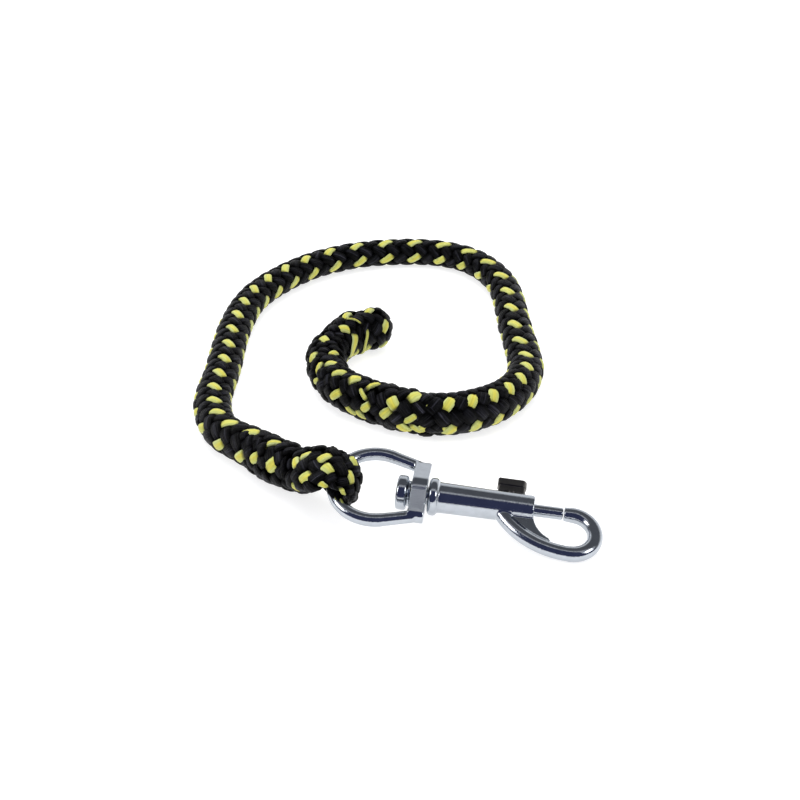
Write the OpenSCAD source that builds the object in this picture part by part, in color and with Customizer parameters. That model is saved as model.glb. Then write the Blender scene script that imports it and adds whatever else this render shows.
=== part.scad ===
// Short lead rope spliced to a swivel bolt snap.
// +X runs along the snap towards its hook, +Z is up, and z = 0 is the surface it lies on.

/* [Snap body] */
// Diameter of the barrel at its collar
barrel_d = 12.1; // [11.4:0.1:12.6]
// Diameter of the barrel at its open end
barrel_end_d = 11.2; // [10.6:0.1:11.6]
// Length from the collar's face to the barrel's open end
barrel_len = 40.8; // [40:0.2:42]
// Diameter of the collar against the swivel
collar_d = 14.8; // [14:0.2:16]
// Thickness of the collar
collar_t = 4; // [3:0.5:5]

/* [Hook] */
// Diameter of the hook's rod round the front
hook_d = 6; // [5.4:0.2:6.4]
// Radius of the hook's front turn, to the middle of the rod
hook_turn_r = 9.2; // [8.8:0.1:9.6]
// Distance from the barrel's open end to the middle of the front turn
hook_reach = 14.7; // [14:0.1:15.4]
// Thickness of the flat web between barrel and hook
web_t = 3.4; // [2.6:0.2:4]

/* [Bolt] */
// Diameter of the round bolt
bolt_d = 4.8; // [4.4:0.1:5]
// Length of bolt seen between barrel and hook tip
bolt_gap = 11.3; // [11:0.1:12]
// How far the bolt draws back
bolt_stroke = 11; // [8:0.5:11]
// Length of the thumb stud's pad
stud_len = 11.4; // [9:0.2:12]
// Width of the thumb stud's pad
stud_w = 5; // [4:0.2:7]

/* [Swivel bail] */
// Diameter of the bail's bar
bail_bar_d = 5.3; // [4.8:0.1:5.6]
// Radius of the bail's round end, to the middle of the bar
bail_r = 16.5; // [16:0.1:17]
// Distance from the collar's face back to the middle of the round end
bail_back = 20.8; // [20:0.1:22]
// Height of the bail's plane over the swivel pin's axis
bail_lift = 1.6; // [0:0.1:1.8]
// Diameter of the swivel pin
pivot_d = 6.4; // [5.6:0.1:6.6]
// Diameter of the swivel pin's head
rivet_head_d = 13.6; // [12:0.1:14]

/* [Rope] */
// Thickness of the flattened rope in the eye
eye_t = 5.6; // [5:0.1:6]
// Width of the flattened rope in the eye
eye_w = 19; // [17:0.5:20]

/* [Attitude] */
// Roll of the snap about its axis, hook side down
snap_roll = 15; // [10:1:20]
// Fall of the snap's axis towards the hook
snap_fall = 3.5; // [2:0.5:4]

/* [Hidden] */
$fn = 64;

eps = 0.02;
running = 0.05;          // radial clearance of a running fit
apart = 0.3;             // gap between faces of different bodies
snap_at = [-13.8, 1, 11]; // the collar's face on the snap's axis

// Stations along the snap's axis, from the collar's face
bolt_tip_x = barrel_len + bolt_gap;
hook_tip_x = bolt_tip_x + apart;
turn_x = barrel_len + hook_reach;
plate_t = 6.3;
plate_x0 = -0.4 - plate_t;
shoulder_x = plate_x0 - apart;
head_x = shoulder_x - 1.1;
head_t = 4.3;
pivot_in = 6.3;          // depth of the swivel pin in the body
spring_x0 = pivot_in + 0.2;
bolt_x0 = 24;
stud_x = barrel_len - 9.1;
slot_w = 3.4;
neck_d = 3;
stud_pad_y0 = 9.5;
stud_pad_y1 = 12.3;

// Sweep of the hook's back, tangent to the bottom of the front turn
back_r = 32;
back_root_y = -2.5;      // where its end is buried in the barrel
back_cy = -2 * hook_turn_r + back_r;
back_end = acos((back_cy - back_root_y) / back_r);

// Bail geometry: straight arms tangent to the round end
arm_end_y = 12.9;
arm_len = 13;
arm_dx = bail_back + plate_x0;
arm_lean = asin(bail_r / norm([arm_dx, arm_end_y])) - atan2(arm_end_y, arm_dx);

// Route of the rope's middle line and its radius there: [x, y, z, radius]
EYE_SPLICE = [
    [-59, 7, 13.6, 9.4], [-66, 11, 12.2, 9.8], [-74, 16, 10.6, 10], [-82, 21, 9.8, 9.7],
    [-91, 28, 9.2, 9], [-100, 34, 8.5, 8.4], [-108, 41, 8.1, 8]];
RUN = [
    [-108, 41, 8.1, 8], [-114, 51, 8, 8], [-119, 65, 8, 8], [-122, 84, 8, 8],
    [-125, 106, 8, 8], [-128, 130, 8, 8], [-129, 152, 8, 8], [-127, 170, 8, 8],
    [-120, 189, 8, 8], [-110, 207, 8, 8], [-96, 223, 8, 8], [-78, 235, 8, 8],
    [-58, 242, 8, 8], [-38, 242, 8, 8], [-21, 235, 8, 8], [-8, 222, 8, 8],
    [1, 205, 8, 8], [7, 181, 8, 8], [11, 158, 8, 8], [15, 136, 8, 8],
    [18, 115, 8.2, 8.2], [16, 101, 8.6, 8.6]];
END_SPLICE = [
    [16, 101, 8.6, 8.6], [10, 87, 9.2, 9.2], [0, 75, 9.8, 9.8], [-14, 68, 10, 10],
    [-28, 67, 10.4, 10.4], [-42, 72, 10.2, 10.2], [-55, 77, 9.8, 9.8], [-66, 85, 9.6, 9.6],
    [-74, 97, 9.4, 9.4], [-77, 112, 9.8, 9.8], [-73, 127, 10.2, 10.2], [-65, 138, 10, 10],
    [-56, 143, 9, 9], [-52, 145, 5.5, 5.5]];
rope_sides = 10;
eye_sides = 12;

// The bail's and the snap's own frame, placed as it lies
module placed() translate(snap_at) rotate([snap_roll, snap_fall, 0]) children();

// A cylinder along the snap's axis from x0 to x1
module rod(x0, x1, r, r_end = undef)
    translate([x0, 0, 0]) rotate([0, 90, 0])
        cylinder(h = x1 - x0, r1 = r, r2 = is_undef(r_end) ? r : r_end);

// A round disc along the snap's axis with rounded rims
module rounded_disc(x0, t, r, rim)
    translate([x0, 0, 0]) rotate([0, 90, 0]) rotate_extrude()
        union() {
            square([r - rim, t]);
            translate([0, rim]) square([r, t - 2 * rim]);
            for (y = [rim, t - rim]) translate([r - rim, y]) circle(rim);
        }

// Part of a ring in the snap's plane: turn radius, rod diameter, first angle and sweep
module arc_rod(r, d, from, sweep)
    rotate([0, 0, from]) rotate_extrude(angle = sweep) translate([r, 0]) circle(d = d);

function unit(v) = v / norm(v);
function run_dir(p, i) = unit(p[min(i + 1, len(p) - 1)] - p[max(i - 1, 0)]);
function ring_faces(n, rings) = concat(
    [[for (k = [0:n - 1]) k]],
    [for (i = [0:rings - 2], k = [0:n - 1])
        [i * n + k, (i + 1) * n + k, (i + 1) * n + (k + 1) % n, i * n + (k + 1) % n]],
    [[for (k = [n - 1:-1:0]) (rings - 1) * n + k]]);

// A round tube along a route of [x, y, z, radius]
module rope_tube(route) {
    n = rope_sides;
    mid = [for (p = route) [p.x, p.y, p.z]];
    points = [for (i = [0:len(route) - 1]) let (
            along = run_dir(mid, i), side = unit(cross([0, 0, 1], along)), top = cross(along, side))
        for (k = [0:n - 1]) let (a = 360 * (k + 0.5) / n)
            mid[i] + route[i][3] * (cos(a) * side + sin(a) * top)];
    polyhedron(points, ring_faces(n, len(route)), convexity = 6);
}

// Middle line of the eye, in the snap's X-Z plane: over the bail's bar, round it and back
eye_half = 4.3 + eye_t / 2;
eye_cx = -bail_back - bail_r + 0.2;
eye_run = 12.5;
function eye_line() = concat(
    [for (x = [-eye_run, -eye_run / 2]) [eye_cx + x, eye_half]],
    [for (a = [90:-22.5:-90]) [eye_cx + eye_half * cos(a), eye_half * sin(a)]],
    [for (x = [-eye_run / 2, -eye_run]) [eye_cx + x, -eye_half]]);

module rope_eye_shape() {
    n = eye_sides;
    line = eye_line();
    points = [for (i = [0:len(line) - 1]) let (
            along = run_dir(line, i), out = [-along.y, along.x])
        for (k = [0:n - 1]) let (
                a = 360 * k / n,
                off = eye_t / 2 * sin(a) * out)
            [line[i].x + off.x, eye_w / 2 * cos(a), bail_lift + line[i].y + off.y]];
    polyhedron(points, [for (f = ring_faces(n, len(line))) [for (k = [len(f) - 1:-1:0]) f[k]]],
               convexity = 4);
}

// Flat web between the barrel's underside and the hook's back
module web_outline()
    difference() {
        intersection() {
            polygon([[24, 0], [turn_x, 0], [turn_x, -2 * hook_turn_r], [24, -2 * hook_turn_r]]);
            translate([turn_x, back_cy]) circle(back_r, $fn = 160);
        }
        translate([turn_x - 2.9, -3]) circle(11.7, $fn = 96);
        translate([turn_x, -hook_turn_r]) circle(hook_turn_r, $fn = 96);
        translate([turn_x - 8, -hook_turn_r]) square([20, 2 * hook_turn_r]);
    }

module snap_body()
    color("silver") placed() difference() {
        union() {
            rounded_disc(0, collar_t, collar_d / 2, 1.6);
            rod(collar_t - 1, barrel_len, barrel_d / 2, barrel_end_d / 2);
            // front turn, from under the tip round to the back's tangent point
            translate([turn_x, -hook_turn_r, 0]) arc_rod(hook_turn_r, hook_d, -90, 180);
            rod(hook_tip_x, turn_x, hook_d / 2 - 0.3, hook_d / 2);
            // back of the hook, running up into the barrel
            translate([turn_x, back_cy, 0]) arc_rod(back_r, hook_d - 0.2, -90 - back_end, back_end);
            translate([0, 0, -web_t / 2]) linear_extrude(web_t) web_outline();
        }
        rod(-1, spring_x0, pivot_d / 2);
        rod(spring_x0 - eps, barrel_len + 1, bolt_d / 2 + running);
        // slot for the thumb stud's neck
        slot_x0 = stud_x - bolt_stroke;
        translate([slot_x0, 0, 0]) rotate([-90, 0, 0]) cylinder(h = barrel_d, d = slot_w);
        translate([stud_x, 0, 0]) rotate([-90, 0, 0]) cylinder(h = barrel_d, d = slot_w);
        translate([slot_x0, 0, -slot_w / 2]) cube([bolt_stroke, barrel_d, slot_w]);
    }

module bolt()
    color("gainsboro") placed() difference() {
        union() {
            rod(bolt_x0, bolt_tip_x - 0.4, bolt_d / 2);
            rod(bolt_tip_x - 0.4 - eps, bolt_tip_x, bolt_d / 2, bolt_d / 2 - 0.4);
        }
        translate([stud_x, -0.8, 0]) rotate([-90, 0, 0]) cylinder(h = bolt_d, d = neck_d);
    }

module thumb_stud()
    color("dimgray") placed() translate([stud_x, 0, 0]) {
        translate([0, -0.8, 0]) rotate([-90, 0, 0]) cylinder(h = stud_pad_y0 + 1, d = neck_d);
        pad_end = (stud_len - stud_w) / 2;
        translate([0, stud_pad_y1, 0]) rotate([90, 0, 0])
            linear_extrude(stud_pad_y1 - stud_pad_y0) {
                square([2 * pad_end, stud_w], center = true);
                for (x = [-pad_end, pad_end]) translate([x, 0]) circle(d = stud_w);
            }
    }

// Coils of the spring, drawn as touching-free rings joined by a thin seam wire
module bolt_spring() {
    wire = 0.6;
    coils = 9;
    length = bolt_x0 - spring_x0 - 2 * running;
    pitch = (length - wire) / (coils - 1);
    color("lightgray") placed() translate([spring_x0 + running + wire / 2, 0, 0])
        rotate([0, 90, 0]) {
            for (i = [0:coils - 1]) translate([0, 0, i * pitch])
                rotate_extrude() translate([bolt_d / 2 - 0.5, 0]) circle(d = wire);
            translate([bolt_d / 2 - 0.5, 0, 0]) cylinder(h = length - wire, d = wire * 0.7);
        }
}

module swivel_rivet()
    color("silver") placed() {
        rounded_disc(head_x - head_t, head_t, rivet_head_d / 2, 1.2);
        rod(head_x - eps, shoulder_x, 5);
        rod(shoulder_x - eps, pivot_in, pivot_d / 2);
    }

// Cross-plate's outline across the snap: a boss round the pin, tapering to the arms
module plate_outline() {
    boss_r = 7;
    end_r = 3.4;
    end_y = 10.8;
    lean = asin((boss_r - end_r) / end_y);
    seam = 0.06; // keeps the flanks just inside the rounds they join
    circle(boss_r);
    for (s = [0, 180]) rotate(s) {
        translate([end_y, 0]) circle(end_r);
        polygon([for (p = [[0, boss_r, 1], [end_y, end_r, 1], [end_y, end_r, -1], [0, boss_r, -1]])
            [p[0] + (p[1] - seam) * sin(lean), p[2] * (p[1] - seam) * cos(lean)]]);
    }
}

module swivel_bail()
    color("silver") placed() difference() {
        translate([0, 0, bail_lift]) union() {
            translate([plate_x0, 0, 0]) rotate([90, 0, 90]) linear_extrude(plate_t) plate_outline();
            translate([-bail_back, 0, 0]) arc_rod(bail_r, bail_bar_d, 90 - arm_lean, 180 + 2 * arm_lean);
            for (s = [-1, 1])
                translate([-bail_back + bail_r * sin(arm_lean), s * bail_r * cos(arm_lean), 0])
                    rotate([0, 90, -s * arm_lean]) translate([0, 0, -1])
                        cylinder(h = arm_len, r1 = bail_bar_d / 2 - 0.06, r2 = bail_bar_d / 2 - 0.25);
        }
        rod(plate_x0 - 1, 1, pivot_d / 2 + running);
    }

module rope_eye() color("black") placed() rope_eye_shape();
module eye_splice() color("black") rope_tube(EYE_SPLICE);
module rope_run() color("black") rope_tube(RUN);
module end_splice() color("black") rope_tube(END_SPLICE);

snap_body();
bolt();
thumb_stud();
bolt_spring();
swivel_rivet();
swivel_bail();
rope_eye();
eye_splice();
rope_run();
end_splice();
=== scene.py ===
"""Short lead rope on a swivel bolt snap: a braid of sixteen strands, spliced at both ends.

The rope and the snap's own pieces are worked out in mm in the row frame, and their meshes are in
metres. s is the distance along the rope from its end under the eye.
"""
import math
import random

import bmesh
import bpy
import numpy as np
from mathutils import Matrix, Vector


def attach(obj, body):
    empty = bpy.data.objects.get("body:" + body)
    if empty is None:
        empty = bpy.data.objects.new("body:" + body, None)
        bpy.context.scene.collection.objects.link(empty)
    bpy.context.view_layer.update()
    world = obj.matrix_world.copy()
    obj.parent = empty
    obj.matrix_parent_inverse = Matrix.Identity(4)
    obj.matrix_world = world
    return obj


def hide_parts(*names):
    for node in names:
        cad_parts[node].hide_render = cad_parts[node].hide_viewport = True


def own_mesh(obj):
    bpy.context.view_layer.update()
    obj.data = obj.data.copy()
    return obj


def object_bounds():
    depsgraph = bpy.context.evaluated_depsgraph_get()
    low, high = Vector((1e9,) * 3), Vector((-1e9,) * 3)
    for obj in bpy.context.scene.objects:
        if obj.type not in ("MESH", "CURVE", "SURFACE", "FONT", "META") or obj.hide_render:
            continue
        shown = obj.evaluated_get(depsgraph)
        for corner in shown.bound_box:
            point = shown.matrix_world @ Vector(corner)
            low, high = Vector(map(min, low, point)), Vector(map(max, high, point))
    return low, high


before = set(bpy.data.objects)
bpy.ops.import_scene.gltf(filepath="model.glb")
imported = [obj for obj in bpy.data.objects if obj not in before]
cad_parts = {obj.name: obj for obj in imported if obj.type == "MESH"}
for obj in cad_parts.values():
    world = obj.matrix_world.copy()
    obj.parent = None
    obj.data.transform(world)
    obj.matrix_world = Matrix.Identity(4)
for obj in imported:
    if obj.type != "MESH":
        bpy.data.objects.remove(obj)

MM = 0.001
CAD_BOX = [list(corner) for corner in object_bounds()]
FLOOR_CENTRE = Vector(((CAD_BOX[0][0] + CAD_BOX[1][0]) / 2, (CAD_BOX[0][1] + CAD_BOX[1][1]) / 2, 0))

# ---------------------------------------------------------------- camera
AIM_FROM_CENTRE = Vector((0.0038, -0.0258, 0))  # where the camera looks, from the box's floor centre
CAMERA_AZIMUTH = 8.23
CAMERA_ELEVATION = 31.0
CAMERA_DISTANCE = 0.514
CAMERA_LENS = 49.95


def make_camera():
    data = bpy.data.cameras.new("camera")
    data.lens, data.sensor_width = CAMERA_LENS, 36.0
    data.clip_start, data.clip_end = 0.01, 20.0
    camera = bpy.data.objects.new("camera", data)
    bpy.context.scene.collection.objects.link(camera)
    a, e = math.radians(CAMERA_AZIMUTH), math.radians(CAMERA_ELEVATION)
    back = Vector((math.sin(a) * math.cos(e), -math.cos(a) * math.cos(e), math.sin(e)))
    camera.location = FLOOR_CENTRE + AIM_FROM_CENTRE + back * CAMERA_DISTANCE
    camera.rotation_euler = (math.pi / 2 - e, 0, a)
    bpy.context.scene.camera = camera


make_camera()

# ---------------------------------------------------------------- rope route, in mm
# The snap's own frame, as part.scad places it
SNAP_AT = np.array([-13.8, 1.0, 11.0])
SNAP_ROLL, SNAP_FALL = math.radians(15), math.radians(3.5)


def placed(points):
    """Rows of x, y, z in the snap's own frame, in mm, put where the snap lies."""
    cr, sr, cf, sf = math.cos(SNAP_ROLL), math.sin(SNAP_ROLL), math.cos(SNAP_FALL), math.sin(SNAP_FALL)
    roll = np.array([[1, 0, 0], [0, cr, -sr], [0, sr, cr]])
    fall = np.array([[cf, 0, sf], [0, 1, 0], [-sf, 0, cf]])
    return np.asarray(points, float) @ (fall @ roll).T + SNAP_AT


SNAP_SIDE = placed([[0, 1, 0]])[0] - SNAP_AT  # along the bail's bar

# Each row: x, y, z, half width, half thickness. The eye's rows are in the snap's own frame. The route
# is part.scad's, with its points moved a few millimetres to follow the photo more closely.
EYE = [
    [-51.2, 11, -2.4, 4.4, 2.4], [-46.5, 9, -3.6, 4.5, 2.6], [-41.5, 6.4, -4.9, 4.4, 2.8],
    [-37.1, 4, -5.9, 4.4, 2.8], [-33.2, 2.4, -4.7, 5.6, 3.0], [-30.5, 0.8, -2.0, 8.0, 3.3],
    [-29.6, 0, 1.6, 9.6, 3.3], [-30.6, 0, 5.0, 9.8, 3.3], [-33.4, 0, 7.9, 9.8, 3.2],
    [-37.1, 0.4, 8.9, 9.8, 3.3], [-41, 0.6, 7.6, 11.8, 4], [-45.3, 2.3, 4.2, 10.6, 7.2]]
EYE_SPLICE = [
    [-66, 9.6, 12.4, 9.9, 9.2], [-74, 14.4, 10.8, 9.8, 9.7], [-82, 20.2, 9.8, 9.7, 9.7],
    [-91.4, 27.4, 9.2, 9, 9], [-100.5, 33.4, 8.5, 8.5, 8.4], [-108.4, 40.2, 8.1, 8.4, 8]]
RUN = [
    [-114.3, 50.3, 7.6], [-119.2, 64.4, 7.4], [-121.6, 84, 7.4], [-124.6, 106, 7.4], [-128, 130, 7.4],
    [-129.2, 152, 7.4], [-127.6, 170.5, 7.4], [-120.8, 190.8, 7.4], [-110.8, 208.6, 7.4],
    [-96.6, 224.3, 7.4], [-78.3, 235.8, 7.4], [-58, 242, 7.4], [-38, 242.8, 7.4], [-20.6, 236.4, 7.4],
    [-7.6, 223.3, 7.4], [1.2, 206.4, 7.4], [7, 182.3, 7.4], [11, 158, 7.4], [15.2, 136, 7.4],
    [18.6, 114.5, 7.8]]
END_SPLICE = [
    [17.6, 99.5, 8.6, 8.6, 8.6], [11.6, 84.4, 9, 9.1, 9], [1, 71.6, 9.6, 9.6, 9.6],
    [-13.6, 64.2, 9.7, 9.7, 9.7], [-28, 63.2, 10, 10, 10], [-42.6, 68.6, 9.9, 9.9, 9.9],
    [-55.6, 74.5, 9.7, 9.7, 9.7], [-66, 83.6, 9.5, 9.5, 9.5], [-73.4, 96.8, 9.4, 9.4, 9.4],
    [-75.8, 110.3, 9.6, 9.6, 9.6], [-73.2, 120.6, 10.2, 10, 10]]
END_KNOB = [
    [-68, 129.3, 11.3, 10.6, 11.2], [-62.4, 133.8, 11.4, 9.4, 10.6], [-57.6, 137.2, 11.3, 10.9, 11.2],
    [-53.6, 139.7, 11, 9.2, 9.8], [-51.2, 141.1, 11, 6.4, 7], [-50, 141.8, 11, 3, 3.4]]

RUN_WIDE, RUN_THICK = 8.7, 7.4  # half sizes of the plain run, which lies a little flattened
FINE = 0.4             # spacing of the centreline's samples
ROUTE_SAMPLES = 12000  # points on the spline from which arc lengths are measured
SECTION_BLEND = 3      # half length over which the section's size changes are smoothed
LEAN_BLEND = 12        # the same for the lean of the braid's rows
BAR_ROW = 6            # the route row in front of the bail's bar
EYE_LAST_ROW, LEVEL_ROW = len(EYE) - 1, 16  # the section turns level with the floor between these
RUN_STRANDS = 8        # each way round, in the plain run
SPLICE_STRANDS = 10    # each way round, where the worked-in tail makes the rope thicker
SPLICE_ANGLE = math.radians(43)
SINK = 2.0             # how far a layer's strands go in where they tuck under the other layer
# The plain braid's turns: s at each whole turn, from the third before the first yellow row's. These
# and the lean were fitted to the photo's yellow marks, as scratch scripts found and measured them.
TURN_AT = [-24, 44, 106, 156, 216, 277, 344, 414, 491, 549, 589, 632, 676, 720]
FIRST_TURN = -3.0
# How far the plain braid's rows lean round the rope: s and degrees
ROW_LEAN = [(102, 5), (124, -8), (164, -12), (255, -9), (470, -9), (501, -14), (529, 2), (550, 26)]
EYE_SPLICE_END, END_SPLICE_START = 97, 587
UNDER_SIDE = (40, 130)  # angles that face the floor, where the splices keep the plain run's pattern
# Yellow floats on the splices' open side: s, the angle round the rope, and the width over a plain
# float's. Each row stands for a mark in the photo. A scratch script matched the marks to the braid's
# floats and wrote this list, so its numbers aren't chosen by hand.
SPLICE_YELLOW = [
    (34, 180, 1), (34, 252, 1.1), (34, 324, 1.1), (42, 180, 0.7), (42, 252, 1.2), (44, 288, 0.9),
    (48, 216, 1.3), (52, 288, 0.9), (55, 180, 0.8), (55, 252, 0.8), (72, 216, 1.3), (77, 288, 0.8),
    (82, 216, 1), (91, 216, 1.1), (96, 144, 1), (591, 180, 1.1), (593, 216, 0.9), (601, 180, 0.7),
    (603, 216, 0.8), (603, 288, 1.3), (606, 180, 1.1), (611, 252, 1.1), (614, 216, 1.3), (624, 216, 0.9),
    (624, 288, 0.6), (626, 180, 0.7), (626, 252, 0.5), (631, 180, 0.8), (634, 288, 1.4), (638, 216, 0.9),
    (643, 288, 1), (653, 216, 0.7), (653, 288, 1), (655, 252, 0.6), (665, 252, 1), (665, 324, 0.9),
    (677, 288, 1), (690, 324, 1.2), (698, 288, 0.8), (708, 288, 1), (714, 0, 1)]
# Yellow strands laid over the braid across the end's knob: points of (s in mm, angle), and width in mm
KNOB_WRAPS = [
    ([(703, -14), (702, 14), (700, 38), (700, 74), (699, 98)], 1.5),
    ([(693, -16), (690, 4), (686, 22), (684, 40), (682, 54)], 3.8),
    ([(694, 300), (696, 314), (698, 326), (701, 344)], 0.9)]
WRAP_LIFT, WRAP_SINK, WRAP_THICK = 0.2, 2.0, 0.9  # over the rope in the middle, under it at the ends
WRAP_RINGS = 40
NEAR_S, NEAR_ANGLE = 2.4, 15        # how near a float is to a row of the list to take its colour
WALL_MID, WALL_WAVE = 0.756, 0.125  # strand centre over the rope's radius, and its rise and fall
FLOAT_FLATNESS = 1.5                # how flat the top of the rise and fall is
STRAND_W, YELLOW_W = 0.62, 0.46     # strand widths over the rope's radius
STRAND_T = 0.24                     # strand thickness over the rope's radius
STRAND_STEP = 1.2                   # spacing of a strand's rings
SECTION = 16                        # points round a strand
SECTION_ACROSS, SECTION_UP = 0.75, 0.85  # powers that fill the strand's oval out
SHOULDER = 0.25                     # how much thinner a strand is at its sides
YARNS, YARN_RIDGE = 4, 0.09         # yarns side by side in a strand, and how far each stands up
CORE_DEPTH, CORE_SIDES, CORE_STEP = 0.42, 20, 2.0  # depth is over the rope's radius
SEED = 7
LAYER_OVERLAP = 16     # how far the plain braid runs on under each splice's
END_INSET = 0.5        # how far the strands stop short of the rope's two ends
STAGGER, SINK_LENGTH = 4, 9  # a layer's strands end this far apart, and tuck under over this length
# Wandering of the strands: wave lengths in mm, and sizes in the plain run and added in a rough splice
TURN_WAVES, TURN_WANDER, TURN_ROUGH = (22, 55), 0.012, 0.07
LIFT_WAVES, LIFT_WANDER, LIFT_ROUGH = (12, 32), 0.07, 0.25
SWELL_WAVES, SWELL_ROUGH = (10, 30), 0.12
NOISE_WAVES, NOISE_PHASE = 5, 6.28


def route_rows():
    eye = np.array(EYE, float)
    eye[:, :3] = placed(eye[:, :3])
    run = [[x, y, z, RUN_WIDE, RUN_THICK] for x, y, z in RUN]
    return np.vstack([eye, EYE_SPLICE, run, END_SPLICE, END_KNOB])


def natural_spline(t, y, u):
    """A natural cubic spline through the rows y at t, evaluated at u."""
    n, h = len(t), np.diff(t)
    a, b = np.eye(n), np.zeros_like(y)
    for i in range(1, n - 1):
        a[i, i - 1:i + 2] = h[i - 1], 2 * (h[i - 1] + h[i]), h[i]
        b[i] = 6 * ((y[i + 1] - y[i]) / h[i] - (y[i] - y[i - 1]) / h[i - 1])
    m = np.linalg.solve(a, b)
    i = np.clip(np.searchsorted(t, u) - 1, 0, n - 2)
    h, d0, d1 = h[i][:, None], (u - t[i])[:, None], (t[i + 1] - u)[:, None]
    return (m[i] * d1**3 + m[i + 1] * d0**3) / (6 * h) + (y[i] / h - m[i] * h / 6) * d1 \
        + (y[i + 1] / h - m[i + 1] * h / 6) * d0


def unit(v):
    return v / np.linalg.norm(v, axis=-1, keepdims=True)


def smooth_step(x):
    x = np.clip(x, 0, 1)
    return x * x * (3 - 2 * x)


def smooth(values, width):
    """The values, which are FINE apart, each averaged with those up to about width away."""
    k = np.hanning(2 * int(width / FINE) + 3)
    pad = len(k) // 2
    return np.convolve(np.pad(values, pad, mode="edge"), k / k.sum(), mode="valid")


class Braid:
    """One layer of braid: the number of strands each way round, and the turns made at each s."""

    def __init__(self, strands, turns):
        self.strands, self.turns = strands, turns
        self.kappa = 2 * math.pi * np.gradient(turns, FINE)


class Centreline:
    """The rope's middle line at even spacing, with its section's axes and half sizes, in mm."""

    def __init__(self, rows, side_at, side):
        xyz = rows[:, :3]
        t = np.concatenate([[0], np.cumsum(np.linalg.norm(np.diff(xyz, axis=0), axis=1))])
        u = np.linspace(0, t[-1], ROUTE_SAMPLES)
        dense = natural_spline(t, xyz, u)
        arc = np.concatenate([[0], np.cumsum(np.linalg.norm(np.diff(dense, axis=0), axis=1))])
        self.length = arc[-1]
        self.s = np.arange(0, self.length, FINE)
        self.knot = np.interp(t, u, arc)      # arc length at each route row
        at = np.interp(self.s, arc, u)
        self.point = natural_spline(t, xyz, at)
        self.wide = smooth(np.interp(self.s, self.knot, rows[:, 3]), SECTION_BLEND)
        self.thick = smooth(np.interp(self.s, self.knot, rows[:, 4]), SECTION_BLEND)
        along = unit(np.gradient(self.point, axis=0))
        start = int(np.argmin(np.abs(self.s - self.knot[side_at])))
        n = np.zeros_like(self.point)
        n[start] = unit(side - along[start] * (side @ along[start]))
        for i in range(start + 1, len(n)):
            n[i] = unit(n[i - 1] - along[i] * (n[i - 1] @ along[i]))
        for i in range(start - 1, -1, -1):
            n[i] = unit(n[i + 1] - along[i] * (n[i + 1] @ along[i]))
        self.along, self.n1, self.n2 = along, n, np.cross(along, n)
        p, q = self.wide, self.thick
        h = ((p - q) / (p + q)) ** 2          # Ramanujan's rule for the way round an ellipse
        around = math.pi * (p + q) * (1 + 3 * h / (10 + np.sqrt(4 - 3 * h)))
        self.scale = around / (2 * math.pi)   # radius of a round rope as far round
        self.level_section()
        whole = np.arange(FIRST_TURN, len(TURN_AT) + FIRST_TURN)[:, None]
        turns = natural_spline(np.array(TURN_AT, float), whole, self.s)
        self.run_braid = Braid(RUN_STRANDS, turns[:, 0])
        self.splice_braid = Braid(SPLICE_STRANDS, np.cumsum(
            math.tan(SPLICE_ANGLE) / (self.scale * WALL_MID)) * FINE / (2 * math.pi))

    def level_section(self):
        """Past the eye, turns the section's axes level with the floor, and leans the braid's rows."""
        up = np.array([0, 0, 1.0])
        up = unit(up - (self.along @ up)[:, None] * self.along)
        first, level = self.knot[EYE_LAST_ROW], self.knot[LEVEL_ROW]
        past = smooth_step((self.s - first) / (level - first))
        tilt = (np.arctan2((up * self.n2).sum(1), (up * self.n1).sum(1)) + math.pi / 2) * past
        c, z = np.cos(tilt)[:, None], np.sin(tilt)[:, None]
        self.n1, self.n2 = c * self.n1 + z * self.n2, c * self.n2 - z * self.n1
        lean = np.interp(self.s, [a for a, _ in ROW_LEAN], [b for _, b in ROW_LEAN])
        self.turn = -np.radians(smooth(lean, LEAN_BLEND)) * past

    def at(self, s, field):
        s = np.clip(s, 0, self.s[-1])
        if field.ndim == 1:
            return np.interp(s, self.s, field)
        return np.stack([np.interp(s, self.s, field[:, k]) for k in range(3)], -1)


RATIOS = np.linspace(0.2, 1, 9)  # of a section's thickness to its width
EVEN_STEPS = 360


def even_angle_tables():
    """For each ratio of thickness to width, the ellipse angle at each even step round it."""
    tables = []
    a = np.linspace(0, 2 * math.pi, 2 * EVEN_STEPS + 1)
    for k in RATIOS:
        arc = np.concatenate([[0], np.cumsum(np.hypot(np.diff(np.cos(a)), np.diff(k * np.sin(a))))])
        tables.append(np.interp(np.linspace(0, arc[-1], EVEN_STEPS + 1), arc, a))
    return tables


EVEN = even_angle_tables()


def even_angle(theta, ratio):
    """The ellipse angle that lies as far round a section of this ratio as theta does round a circle."""
    turns = np.floor(theta / (2 * math.pi))
    f = (theta / (2 * math.pi) - turns) * EVEN_STEPS
    found = [np.interp(f, np.arange(EVEN_STEPS + 1), table) for table in EVEN]
    place = np.clip((ratio - RATIOS[0]) / (RATIOS[1] - RATIOS[0]), 0, len(RATIOS) - 1.001)
    low = place.astype(int)
    stack = np.stack(found, 0)
    a = np.take_along_axis(stack, low[None], 0)[0]
    b = np.take_along_axis(stack, low[None] + 1, 0)[0]
    return a + (b - a) * (place - low)


def on_rope(line, s, theta, depth):
    """Points at s along the rope, theta round it and depth under its outer surface, in mm."""
    p, q = line.at(s, line.wide), line.at(s, line.thick)
    psi = even_angle(theta + line.at(s, line.turn), np.clip(q / p, RATIOS[0], 1))
    c, z = np.cos(psi), np.sin(psi)
    norm = np.hypot(q * c, p * z)
    a, b = p * c - depth * q * c / norm, q * z - depth * p * z / norm
    across, up = a[..., None] * line.at(s, line.n1), b[..., None] * line.at(s, line.n2)
    return line.at(s, line.point) + across + up


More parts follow.
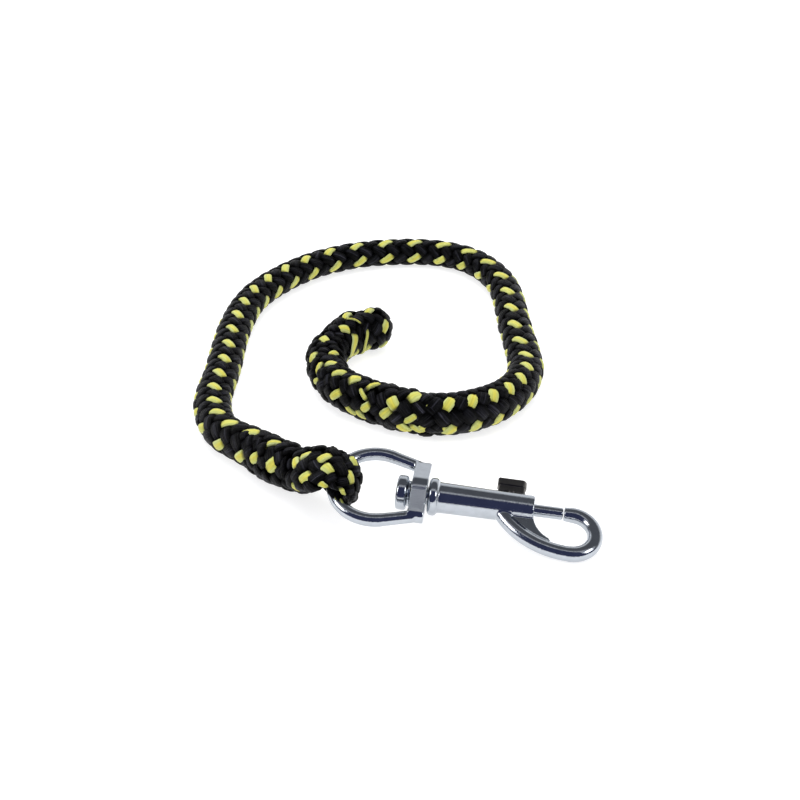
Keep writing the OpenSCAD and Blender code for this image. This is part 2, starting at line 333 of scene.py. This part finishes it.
def soft_square(x):
    return np.tanh(FLOAT_FLATNESS * x) / math.tanh(FLOAT_FLATNESS)


def section_shape(count):
    """A flat, full rounded section: across from -1 to 1 and up from -1 to 1."""
    a = np.linspace(0, 2 * math.pi, count, endpoint=False) + math.pi / count
    c, s = np.cos(a), np.sin(a)
    return np.sign(c) * np.abs(c) ** SECTION_ACROSS, np.sign(s) * np.abs(s) ** SECTION_UP


def strand_angle(line, braid, family, index, s):
    """One strand's angle round the rope. family is -1 for the hand with yellow in it, else +1."""
    phase = 0 if family < 0 else math.pi / braid.strands
    return 2 * math.pi * index / braid.strands + phase + family * 2 * math.pi * line.at(s, braid.turns)


def strand_points(line, braid, family, index, s, turn, lift, width):
    """A strand's rings, how far across it their points are, and how far over each ring lies."""
    theta = strand_angle(line, braid, family, index, s)
    r = line.at(s, line.scale)
    over = -family * soft_square(np.cos(braid.strands / 2 * theta))
    theta = theta + turn
    centre = r * (WALL_MID + WALL_WAVE * over) + lift
    beta = np.arctan(line.at(s, braid.kappa) * r * WALL_MID)
    across, up = section_shape(SECTION)
    half_w, half_t = r * width / 2 * RUN_STRANDS / braid.strands, r * STRAND_T / 2
    b = half_w[:, None] * across[None]
    ring_theta = theta[:, None] + b * (np.cos(beta) / (r * WALL_MID))[:, None]
    ring_s = s[:, None] - family * b * np.sin(beta)[:, None]
    crown = 1 - SHOULDER * across[None] ** 2 + YARN_RIDGE * np.cos(YARNS * math.pi * across[None])
    depth = (r - centre)[:, None] - half_t[:, None] * up[None] * crown
    return on_rope(line, ring_s, ring_theta, depth), across, over


def wave_noise(rng, s, waves, size):
    """A smooth wandering value along s, made of a few random waves."""
    out = np.zeros_like(s)
    for _ in range(NOISE_WAVES):
        out += np.sin(2 * math.pi * s / rng.uniform(*waves) + rng.uniform(0, NOISE_PHASE)) \
            * math.sqrt(2 / NOISE_WAVES)
    return out * size


def tube_mesh(name, tubes):
    """One mesh of closed tubes. Each is (rings, across, along, over, seed)."""
    verts, faces = [], []
    fields = {"across": [], "along": [], "over": [], "seed": []}
    base = 0
    for rings, across, along, over, seed in tubes:
        n, k = rings.shape[0], rings.shape[1]
        verts.append(rings.reshape(-1, 3) * MM)
        grid = base + np.arange(n * k).reshape(n, k)
        a, b = grid[:-1], grid[1:]
        quads = np.stack([a, np.roll(a, -1, 1), np.roll(b, -1, 1), b], -1).reshape(-1, 4)
        faces += quads.tolist()
        faces += [grid[0][::-1].tolist(), grid[-1].tolist()]
        fields["across"].append(np.tile(across, n))
        fields["along"].append(np.repeat(along, k))
        fields["over"].append(np.repeat(over, k))
        fields["seed"].append(np.full(n * k, seed))
        base += n * k
    mesh = bpy.data.meshes.new(name)
    mesh.from_pydata(np.vstack(verts).tolist(), [], faces)
    for label, values in fields.items():
        layer = mesh.attributes.new(label, "FLOAT", "POINT")
        layer.data.foreach_set("value", np.concatenate(values).astype(np.float32))
    mesh.polygons.foreach_set("use_smooth", [True] * len(mesh.polygons))
    mesh.update()
    obj = bpy.data.objects.new(name, mesh)
    bpy.context.scene.collection.objects.link(obj)
    return obj


def yellow_width(family, index, s, angle, in_splice):
    """The width of a float with its middle at s and angle if it is yellow, or 0 if it is black."""
    if in_splice and not UNDER_SIDE[0] < angle < UNDER_SIDE[1]:
        for at, around, width in SPLICE_YELLOW:
            if abs(s - at) < NEAR_S and abs((angle - around + 180) % 360 - 180) < NEAR_ANGLE:
                return width
        return 0
    return 1 if family < 0 and index % 2 == 0 else 0


def color_spans(line, braid, family, index, s, in_splice):
    """Cuts a strand where it passes under: (width if yellow, first, last), of one colour each."""
    theta = strand_angle(line, braid, family, index, s)
    over = -family * np.cos(braid.strands / 2 * theta)
    cuts = [0] + [i for i in range(1, len(s) - 1) if over[i] < over[i - 1] and over[i] <= over[i + 1]] \
        + [len(s) - 1]
    spans = []
    for a, b in zip(cuts[:-1], cuts[1:]):
        if b <= a:
            continue
        top = a + int(np.argmax(over[a:b + 1]))
        width = yellow_width(family, index, s[top], math.degrees(theta[top]) % 360, in_splice)
        if spans and spans[-1][0] == width:
            spans[-1][2] = b
        else:
            spans.append([width, a, b])
    return spans


def lay_strands(line, braid, rng, first, last, rough, black, yellow):
    """Lays one layer of braid from first to last. rough is how much its strands wander, from 0 to 1."""
    in_splice = braid is line.splice_braid
    for family in (1, -1):
        for index in range(braid.strands):
            starts, ends = first > 1, last < line.length - 1
            a = first + (rng.uniform(-STAGGER, STAGGER) if starts else 0)
            b = last + (rng.uniform(-STAGGER, STAGGER) if ends else 0)
            s = np.arange(a, b, STRAND_STEP)
            sink = smooth_step(1 - (s - a) / SINK_LENGTH) * starts \
                + smooth_step(1 - (b - s) / SINK_LENGTH) * ends
            turn = wave_noise(rng, s, TURN_WAVES, TURN_WANDER + TURN_ROUGH * rough)
            lift = wave_noise(rng, s, LIFT_WAVES, LIFT_WANDER + LIFT_ROUGH * rough) - SINK * sink
            swell = 1 + wave_noise(rng, s, SWELL_WAVES, SWELL_ROUGH * rough)
            seed = rng.random()
            for yellow_w, i, j in color_spans(line, braid, family, index, s, in_splice):
                part = slice(i, j + 1)
                width = (YELLOW_W * yellow_w if yellow_w else STRAND_W) * swell[part]
                rings, across, over = strand_points(line, braid, family, index, s[part], turn[part],
                                                    lift[part], width)
                (yellow if yellow_w else black).append((rings, across, s[part] * MM, over, seed))


def wrap_strand(line, path, width):
    """A strand laid over the braid along its points, with both of its ends sunk into it."""
    t = np.linspace(0, 1, WRAP_RINGS)
    found = natural_spline(np.linspace(0, 1, len(path)), np.array(path, float), t)
    s, theta = found[:, 0], np.radians(found[:, 1])
    over = 1 - 2 * (2 * t - 1) ** 4
    depth = WRAP_SINK * (1 - over) / 2 - WRAP_LIFT
    centre = on_rope(line, s, theta, depth)
    normal = unit(centre - on_rope(line, s, theta, depth + 1))
    side = np.cross(unit(np.gradient(centre, axis=0)), normal)
    across, up = section_shape(SECTION)
    rings = centre[:, None] + side[:, None] * (width / 2 * across)[None, :, None] \
        + normal[:, None] * (WRAP_THICK / 2 * up)[None, :, None]
    return rings, across, s * MM, over, width / 3


def core_tube(line):
    """The rope's middle, seen only as the black between the strands; its over of -1 gives it the black
    material's painted shade in full.
    """
    s = np.arange(1.0, line.length - 1.0, CORE_STEP)
    theta = np.linspace(0, 2 * math.pi, CORE_SIDES, endpoint=False)
    ring_s, ring_theta = np.repeat(s[:, None], CORE_SIDES, 1), np.repeat(theta[None], len(s), 0)
    depth = (line.at(s, line.scale) * CORE_DEPTH)[:, None] * np.ones((1, CORE_SIDES))
    return on_rope(line, ring_s, ring_theta, depth), np.ones(CORE_SIDES), s * MM, -np.ones(len(s)), 0.0


def make_rope():
    """The rope's centreline, and its black and its yellow strands as two pieces."""
    line = Centreline(route_rows(), side_at=BAR_ROW, side=SNAP_SIDE)
    rng = random.Random(SEED)
    black, yellow = [core_tube(line)], []
    for braid, first, last, rough in (
            (line.run_braid, EYE_SPLICE_END - LAYER_OVERLAP, END_SPLICE_START + LAYER_OVERLAP, 0),
            (line.splice_braid, END_INSET, EYE_SPLICE_END, 1),
            (line.splice_braid, END_SPLICE_START, line.length - END_INSET, 1)):
        lay_strands(line, braid, rng, first, last, rough, black, yellow)
    yellow += [wrap_strand(line, path, width) for path, width in KNOB_WRAPS]
    return line, tube_mesh("rope_strands_black", black), tube_mesh("rope_strands_yellow", yellow)


# ---------------------------------------------------------------- materials
def new_material(name):
    mat = bpy.data.materials.new(name)
    mat.use_nodes = True
    tree = mat.node_tree
    return mat, tree, tree.nodes["Principled BSDF"]


def node(tree, kind, **values):
    made = tree.nodes.new(kind)
    for key, value in values.items():
        if hasattr(made, key):
            setattr(made, key, value)
        else:
            made.inputs[key.replace("_", " ")].default_value = value
    return made


def math_node(tree, operation, a, b=None, clamp=False):
    made = tree.nodes.new("ShaderNodeMath")
    made.operation, made.use_clamp = operation, clamp
    for i, value in enumerate((a, b)):
        if value is None:
            continue
        if isinstance(value, (int, float)):
            made.inputs[i].default_value = value
        else:
            tree.links.new(value, made.inputs[i])
    return made.outputs[0]


def ramp(tree, factor, stops):
    made = tree.nodes.new("ShaderNodeValToRGB")
    made.color_ramp.elements[0].position, made.color_ramp.elements[0].color = stops[0]
    made.color_ramp.elements[1].position, made.color_ramp.elements[1].color = stops[-1]
    for position, color in stops[1:-1]:
        made.color_ramp.elements.new(position).color = color
    tree.links.new(factor, made.inputs[0])
    return made.outputs[0]


def linear(r, g, b):
    """An sRGB colour of 0 to 255 as Blender's linear RGBA."""
    def channel(c):
        return ((c / 255 + 0.055) / 1.055) ** 2.4 if c > 10 else c / 255 / 12.92

    return (channel(r), channel(g), channel(b), 1.0)


def tint(v, g=None, b=None):
    """A linear colour to multiply by: one grey value, or r, g and b."""
    return (v, v if g is None else g, v if b is None else b, 1)


def multiply_colors(tree, a, b):
    mix = node(tree, "ShaderNodeMix", data_type="RGBA", blend_type="MULTIPLY")
    mix.inputs[0].default_value = 1.0
    tree.links.new(a, mix.inputs[6])
    tree.links.new(b, mix.inputs[7])
    return mix.outputs[2]


def attribute(tree, name):
    made = tree.nodes.new("ShaderNodeAttribute")
    made.attribute_name = name
    return made.outputs["Fac"]


def filaments(tree):
    """Fine lines along a strand that waver a little, from 0 to 1, and a slower mottling."""
    across, along, seed = attribute(tree, "across"), attribute(tree, "along"), attribute(tree, "seed")
    pos = tree.nodes.new("ShaderNodeCombineXYZ")
    tree.links.new(math_node(tree, "MULTIPLY", across, 4.0), pos.inputs[0])
    tree.links.new(math_node(tree, "MULTIPLY", along, 90.0), pos.inputs[1])
    tree.links.new(math_node(tree, "MULTIPLY", seed, 50.0), pos.inputs[2])
    fine = node(tree, "ShaderNodeTexNoise", Scale=1.6, Detail=3.0, Roughness=0.6)
    tree.links.new(pos.outputs[0], fine.inputs["Vector"])
    slow = node(tree, "ShaderNodeTexNoise", Scale=0.45, Detail=1.0)
    tree.links.new(pos.outputs[0], slow.inputs["Vector"])
    return across, fine.outputs["Fac"], slow.outputs["Fac"]


def bump(tree, height, distance, strength=1.0):
    made = node(tree, "ShaderNodeBump", Strength=strength, Distance=distance)
    tree.links.new(height, made.inputs["Height"])
    return made.outputs["Normal"]


def crown_of(tree, low, high):
    """1 on the top of a float and 0 where the strand tucks under: the mask for the rope's painted shade
    there, and for the black yarn's gloss.
    """
    made = tree.nodes.new("ShaderNodeMapRange")
    made.interpolation_type = "SMOOTHSTEP"
    made.inputs["From Min"].default_value, made.inputs["From Max"].default_value = low, high
    tree.links.new(attribute(tree, "over"), made.inputs["Value"])
    return made.outputs["Result"]


BLACK_GLOSS, BLACK_ROUGHNESS, BLACK_GRAIN = 0.2, 0.28, 0.0011
YELLOW_ROUGHNESS, YELLOW_GRAIN, YELLOW_SHEEN = 0.5, 0.00025, 0.1


def rope_black_material():
    """Black polyester yarn: a painted highlight down the middle of each float with painted shade at its
    sides, and painted shade where it tucks under.
    """
    mat, tree, shader = new_material("rope_black")
    across, fine, slow = filaments(tree)
    lines = ramp(tree, fine, [(0.38, tint(0.03)), (0.50, tint(0.25)), (0.62, tint(1))])
    edge = math_node(tree, "ABSOLUTE", across)
    # Painted highlight: the base colour is lighter down the middle of each strand and falls to painted
    # shade at its sides.
    painted_sheen = ramp(tree, edge, [(0.0, linear(62, 62, 72)), (0.45, linear(32, 32, 38)),
                             (0.75, linear(1, 1, 1))])
    shade = ramp(tree, slow, [(0.38, tint(0.06)), (0.62, tint(1))])
    color = multiply_colors(tree, multiply_colors(tree, painted_sheen, lines), shade)
    # Painted shade: the colour darkens to near black where a strand tucks under the others.
    crown = crown_of(tree, 0.0, 1.0)
    fall = ramp(tree, crown, [(0.0, tint(0.03)), (1.0, tint(1))])
    tree.links.new(multiply_colors(tree, color, fall), shader.inputs["Base Color"])
    gloss = math_node(tree, "MULTIPLY", math_node(tree, "MULTIPLY", crown, fine), BLACK_GLOSS)
    tree.links.new(gloss, shader.inputs["Specular IOR Level"])
    rough = math_node(tree, "ADD", math_node(tree, "MULTIPLY", slow, 0.3), BLACK_ROUGHNESS)
    tree.links.new(rough, shader.inputs["Roughness"])
    tree.links.new(bump(tree, fine, BLACK_GRAIN), shader.inputs["Normal"])
    return mat


def rope_yellow_material():
    """Yellow polyester yarn: warmer in the middle of a float, paler at its sides, with painted shade at
    its ends where it tucks under.
    """
    mat, tree, shader = new_material("rope_yellow")
    across, fine, slow = filaments(tree)
    edge = math_node(tree, "ABSOLUTE", across)
    patchy = math_node(tree, "MULTIPLY", math_node(tree, "SUBTRACT", slow, 0.5), 1.1)
    tone = math_node(tree, "ADD", math_node(tree, "MULTIPLY", edge, 0.75), patchy, clamp=True)
    color = ramp(tree, tone, [(0.0, linear(218, 208, 72)), (0.35, linear(206, 208, 100)),
                              (0.9, linear(200, 208, 140))])
    shade = ramp(tree, fine, [(0.3, tint(0.72, 0.74, 0.60)), (0.6, tint(1))])
    # Painted shade: the colour darkens to a dark olive where a yellow strand tucks under the others.
    painted_yellow_tuck_shade = ramp(tree, crown_of(tree, -0.1, 0.75), [(0.0, linear(28, 27, 4)),
                                                  (0.55, linear(176, 176, 130)), (1.0, tint(1))])
    color = multiply_colors(tree, multiply_colors(tree, color, shade), painted_yellow_tuck_shade)
    tree.links.new(color, shader.inputs["Base Color"])
    shader.inputs["Roughness"].default_value = YELLOW_ROUGHNESS
    tree.links.new(bump(tree, fine, YELLOW_GRAIN), shader.inputs["Normal"])
    shader.inputs["Sheen Weight"].default_value = YELLOW_SHEEN
    return mat


def polished_material(name, base, rough, grain=0.00001):
    """Plated or drawn metal with slightly uneven polish and a fine grain."""
    mat, tree, shader = new_material(name)
    place = tree.nodes.new("ShaderNodeTexCoord").outputs["Object"]
    soft = node(tree, "ShaderNodeTexNoise", Scale=260.0, Detail=2.0)
    tree.links.new(place, soft.inputs["Vector"])
    fine = node(tree, "ShaderNodeTexNoise", Scale=2600.0, Detail=2.0)
    tree.links.new(place, fine.inputs["Vector"])
    dull = tuple(c * 0.9 for c in base[:3]) + (1,)
    color = ramp(tree, soft.outputs["Fac"], [(0.3, dull), (0.7, base)])
    tree.links.new(color, shader.inputs["Base Color"])
    value = math_node(tree, "ADD", math_node(tree, "MULTIPLY", soft.outputs["Fac"], 0.08), rough - 0.04)
    tree.links.new(value, shader.inputs["Roughness"])
    tree.links.new(bump(tree, fine.outputs["Fac"], grain), shader.inputs["Normal"])
    shader.inputs["Metallic"].default_value = 1.0
    return mat


# ---------------------------------------------------------------- cast and turned metal
WELD = 0.002  # mm


def cast_piece(name, cad_node, body, voxel, rounds, mat):
    """The CAD node's solid with its edges and inner corners softened, as cast and polished metal is."""
    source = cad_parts[cad_node]
    mesh = source.data.copy()
    work = bpy.data.objects.new(name + "_work", mesh)
    bpy.context.scene.collection.objects.link(work)
    for v in mesh.vertices:
        v.co /= MM
    weld = work.modifiers.new("weld", "WELD")
    weld.merge_threshold = WELD
    made = soften(work, voxel, rounds)
    made.name = name
    made.materials.clear()
    made.materials.append(mat)
    obj = bpy.data.objects.new(name, made)
    bpy.context.scene.collection.objects.link(obj)
    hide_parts(cad_node)
    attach(obj, body)
    return obj


STUD_X = 31.7  # the stud's middle along the snap
STUD_PAD, STUD_PAD_CORNERS, STUD_PAD_Y = (11.4, 4.6), (2.1, 0.9), (9.3, 12.3)
STUD_STEM, STUD_STEM_CORNERS, STUD_STEM_Y = (10.6, 3.0), (1.2, 0.8), (6.7, 9.5)
STUD_NECK_D, STUD_NECK_Y = 3.0, (-0.8, 7.0)
STUD_NECK_SIDES, STUD_VOXEL, STUD_ROUNDS = 24, 0.15, 6


def rounded_outline(length, width, front, back, count=7):
    """A rectangle about the origin with its own corner radii at the front and back, as x, z points."""
    points = []
    corners = ((1, 1, front, 0), (-1, 1, back, 90), (-1, -1, back, 180), (1, -1, front, 270))
    for sx, sz, radius, first in corners:
        cx, cz = sx * (length / 2 - radius), sz * (width / 2 - radius)
        for k in range(count):
            a = math.radians(first + 90 * k / (count - 1))
            points.append((cx + radius * math.cos(a), cz + radius * math.sin(a)))
    return points


def prism_faces(bm, outline, y0, y1, at_x):
    """A closed prism of the x, z outline from y0 to y1 in the snap's own frame."""
    rings = []
    for y in (y0, y1):
        spots = placed([[at_x + x, y, z] for x, z in outline])
        rings.append([bm.verts.new(tuple(p)) for p in spots])
    n = len(outline)
    for k in range(n):
        bm.faces.new((rings[0][k], rings[0][(k + 1) % n], rings[1][(k + 1) % n], rings[1][k]))
    bm.faces.new(rings[0][::-1])
    bm.faces.new(rings[1])


def soften(obj, voxel, rounds):
    """Remeshes an object modelled in mm and relaxes it, then gives its mesh in metres."""
    remesh = obj.modifiers.new("remesh", "REMESH")
    remesh.mode, remesh.voxel_size = "VOXEL", voxel
    relax = obj.modifiers.new("relax", "SMOOTH")
    relax.factor, relax.iterations = 0.5, rounds
    bpy.context.view_layer.update()
    made = bpy.data.meshes.new_from_object(obj.evaluated_get(bpy.context.evaluated_depsgraph_get()))
    bpy.data.objects.remove(obj)
    for v in made.vertices:
        v.co *= MM
    made.polygons.foreach_set("use_smooth", [True] * len(made.polygons))
    return made


def make_thumb_stud(mat):
    """The stud: a pad with a rounder front, on a low stem, on the neck that is pressed into the bolt."""
    bm = bmesh.new()
    prism_faces(bm, rounded_outline(*STUD_PAD, *STUD_PAD_CORNERS), *STUD_PAD_Y, STUD_X)
    prism_faces(bm, rounded_outline(*STUD_STEM, *STUD_STEM_CORNERS), *STUD_STEM_Y, STUD_X)
    neck = [(STUD_NECK_D / 2 * math.cos(a), STUD_NECK_D / 2 * math.sin(a))
            for a in np.linspace(0, 2 * math.pi, STUD_NECK_SIDES, endpoint=False)]
    prism_faces(bm, neck, *STUD_NECK_Y, STUD_X)
    bmesh.ops.recalc_face_normals(bm, faces=bm.faces)
    mesh = bpy.data.meshes.new("thumb_stud_work")
    bm.to_mesh(mesh)
    bm.free()
    work = bpy.data.objects.new("thumb_stud_work", mesh)
    bpy.context.scene.collection.objects.link(work)
    made = soften(work, STUD_VOXEL, STUD_ROUNDS)
    made.materials.append(mat)
    obj = bpy.data.objects.new("thumb_stud_pad", made)
    bpy.context.scene.collection.objects.link(obj)
    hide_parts("thumb_stud")
    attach(obj, "bolt")
    return obj


SPRING_X0, SPRING_X1 = 6.6, 23.9  # the bore's end and the bolt's, along the snap
SPRING_R, SPRING_WIRE, SPRING_COILS = 1.9, 0.6, 9
SPRING_STEPS, SPRING_SIDES = 28, 10  # rings in a turn, and points round the wire


def make_bolt_spring(mat):
    """A wound coil with closed ends, from the bore's end to the bolt's."""
    turns = np.linspace(0, SPRING_COILS, SPRING_COILS * SPRING_STEPS + 1)
    first, last = SPRING_X0 + SPRING_WIRE / 2, SPRING_X1 - SPRING_WIRE / 2
    x = np.interp(turns, [0, 1, SPRING_COILS - 1, SPRING_COILS],
                  [first, first + SPRING_WIRE, last - SPRING_WIRE, last])[:, None]
    a = (2 * math.pi * turns)[:, None]
    b = np.linspace(0, 2 * math.pi, SPRING_SIDES, endpoint=False)[None]
    out = SPRING_R + SPRING_WIRE / 2 * np.cos(b)
    rings = np.stack([x + SPRING_WIRE / 2 * np.sin(b), out * np.cos(a), out * np.sin(a)], -1)
    obj = tube_mesh("bolt_spring_coil", [(placed(rings), b[0], turns, turns * 0, 0.0)])
    obj.data.materials.append(mat)
    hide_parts("bolt_spring")
    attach(obj, "snap")
    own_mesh(obj)
    return obj


# ---------------------------------------------------------------- studio
def area_light(name, at, aim, size, power, in_reflections):
    data = bpy.data.lights.new(name, "AREA")
    data.shape, data.size, data.size_y = "RECTANGLE", size[0], size[1]
    data.energy = power
    obj = bpy.data.objects.new(name, data)
    bpy.context.scene.collection.objects.link(obj)
    obj.location = at
    obj.rotation_euler = (Vector(aim) - Vector(at)).to_track_quat("-Z", "Y").to_euler()
    obj.visible_camera, obj.visible_glossy = False, in_reflections
    return obj


def plain_material(name, color, emission=0.0):
    mat, tree, shader = new_material(name)
    shader.inputs["Base Color"].default_value = color
    shader.inputs["Roughness"].default_value = 0.9
    shader.inputs["Specular IOR Level"].default_value = 0.1
    if emission:
        shader.inputs["Emission Color"].default_value = color
        shader.inputs["Emission Strength"].default_value = emission
    return mat


NAVY, GREY = (0.05, 0.058, 0.12), (0.13, 0.135, 0.15)
LINE_LIGHT, LIGHT = (0.75, 0.75, 0.77), (0.95, 0.96, 0.98)
SKY = [(0.0, NAVY), (0.39, NAVY), (0.42, LINE_LIGHT), (0.44, LINE_LIGHT), (0.47, GREY), (0.74, GREY),
       (0.82, LIGHT), (1.0, LIGHT)]  # what the chrome reflects, from the front horizon to the back one
SET_RADIUS, WALL_HEIGHT, SET_SIDES = 3.0, 4.0, 96
# Lights: name, place, size, power in watts, and whether it shows in reflections
LIGHTS = [
    ("top", (0.0, 0.1, 1.6), (2.0, 2.0), 24, False),
    ("back", (-0.5, 1.2, 1.1), (1.4, 1.4), 12, False),
    ("left_box", (-1.1, -0.45, 0.75), (0.5, 0.7), 6, True),
    ("right_box", (1.1, -0.5, 0.8), (0.4, 0.6), 5, True)]


def make_world():
    """Soft light all round, in bands that give the chrome its dark and light stripes."""
    world = bpy.data.worlds.new("studio")
    bpy.context.scene.world = world
    world.use_nodes = True
    tree = world.node_tree
    direction = tree.nodes.new("ShaderNodeTexCoord").outputs["Generated"]
    split = tree.nodes.new("ShaderNodeSeparateXYZ")
    tree.links.new(direction, split.inputs[0])
    # A half turn over the set: 0 is the horizon in front, 0.5 is straight up and 1 the horizon behind
    front = math_node(tree, "MULTIPLY", split.outputs[1], -1.0)
    over = math_node(tree, "DIVIDE", math_node(tree, "ARCTAN2", split.outputs[2], front), math.pi)
    color = ramp(tree, over, [(at, rgb + (1,)) for at, rgb in SKY])
    tree.links.new(color, tree.nodes["Background"].inputs["Color"])
    tree.nodes["Background"].inputs["Strength"].default_value = 1.0


def make_studio():
    bpy.context.scene.view_settings.view_transform = "Standard"
    make_world()
    bpy.ops.mesh.primitive_circle_add(vertices=SET_SIDES, radius=SET_RADIUS, fill_type="NGON",
                                      location=(0, 0, 0))
    floor = bpy.context.object
    floor.name = "floor"
    floor.data.materials.append(plain_material("floor_white", (0.5, 0.5, 0.5, 1), 1.5))
    bpy.ops.mesh.primitive_cylinder_add(vertices=SET_SIDES, radius=SET_RADIUS, depth=WALL_HEIGHT,
                                        end_fill_type="NOTHING", location=(0, 0, WALL_HEIGHT / 2))
    wall = bpy.context.object
    wall.name = "backdrop"
    wall.data.materials.append(plain_material("backdrop_white", (0.97, 0.97, 0.97, 1), 1.0))
    for flag in ("visible_glossy", "visible_diffuse", "visible_shadow", "visible_transmission"):
        setattr(wall, flag, False)

    for name, at, size, power, in_reflections in LIGHTS:
        area_light(name, at, tuple(FLOOR_CENTRE), size, power, in_reflections)


# ---------------------------------------------------------------- the scene
line, rope_black, rope_yellow = make_rope()
rope_black.data.materials.append(rope_black_material())
rope_yellow.data.materials.append(rope_yellow_material())
for piece in (rope_black, rope_yellow):
    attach(piece, "rope")
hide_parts("rope_eye", "eye_splice", "rope_run", "end_splice")

chrome = polished_material("chrome", (0.47, 0.50, 0.54, 1), 0.12, 0.00003)
steel = polished_material("spring_steel", (0.45, 0.45, 0.46, 1), 0.3)
stud_metal = polished_material("stud_metal", (0.16, 0.15, 0.14, 1), 0.32)
# Each row: piece, CAD node, body, remesh voxel in mm, and rounds of relaxing
for name, cad_node, body, voxel, rounds in (
        ("snap_body_cast", "snap_body", "snap", 0.25, 14),
        ("swivel_bail_cast", "swivel_bail", "bail", 0.25, 26),
        ("swivel_rivet_turned", "swivel_rivet", "snap", 0.2, 6),
        ("bolt_turned", "bolt", "bolt", 0.15, 6)):
    cast_piece(name, cad_node, body, voxel, rounds, chrome)
make_thumb_stud(stud_metal)
make_bolt_spring(steel)
make_studio()
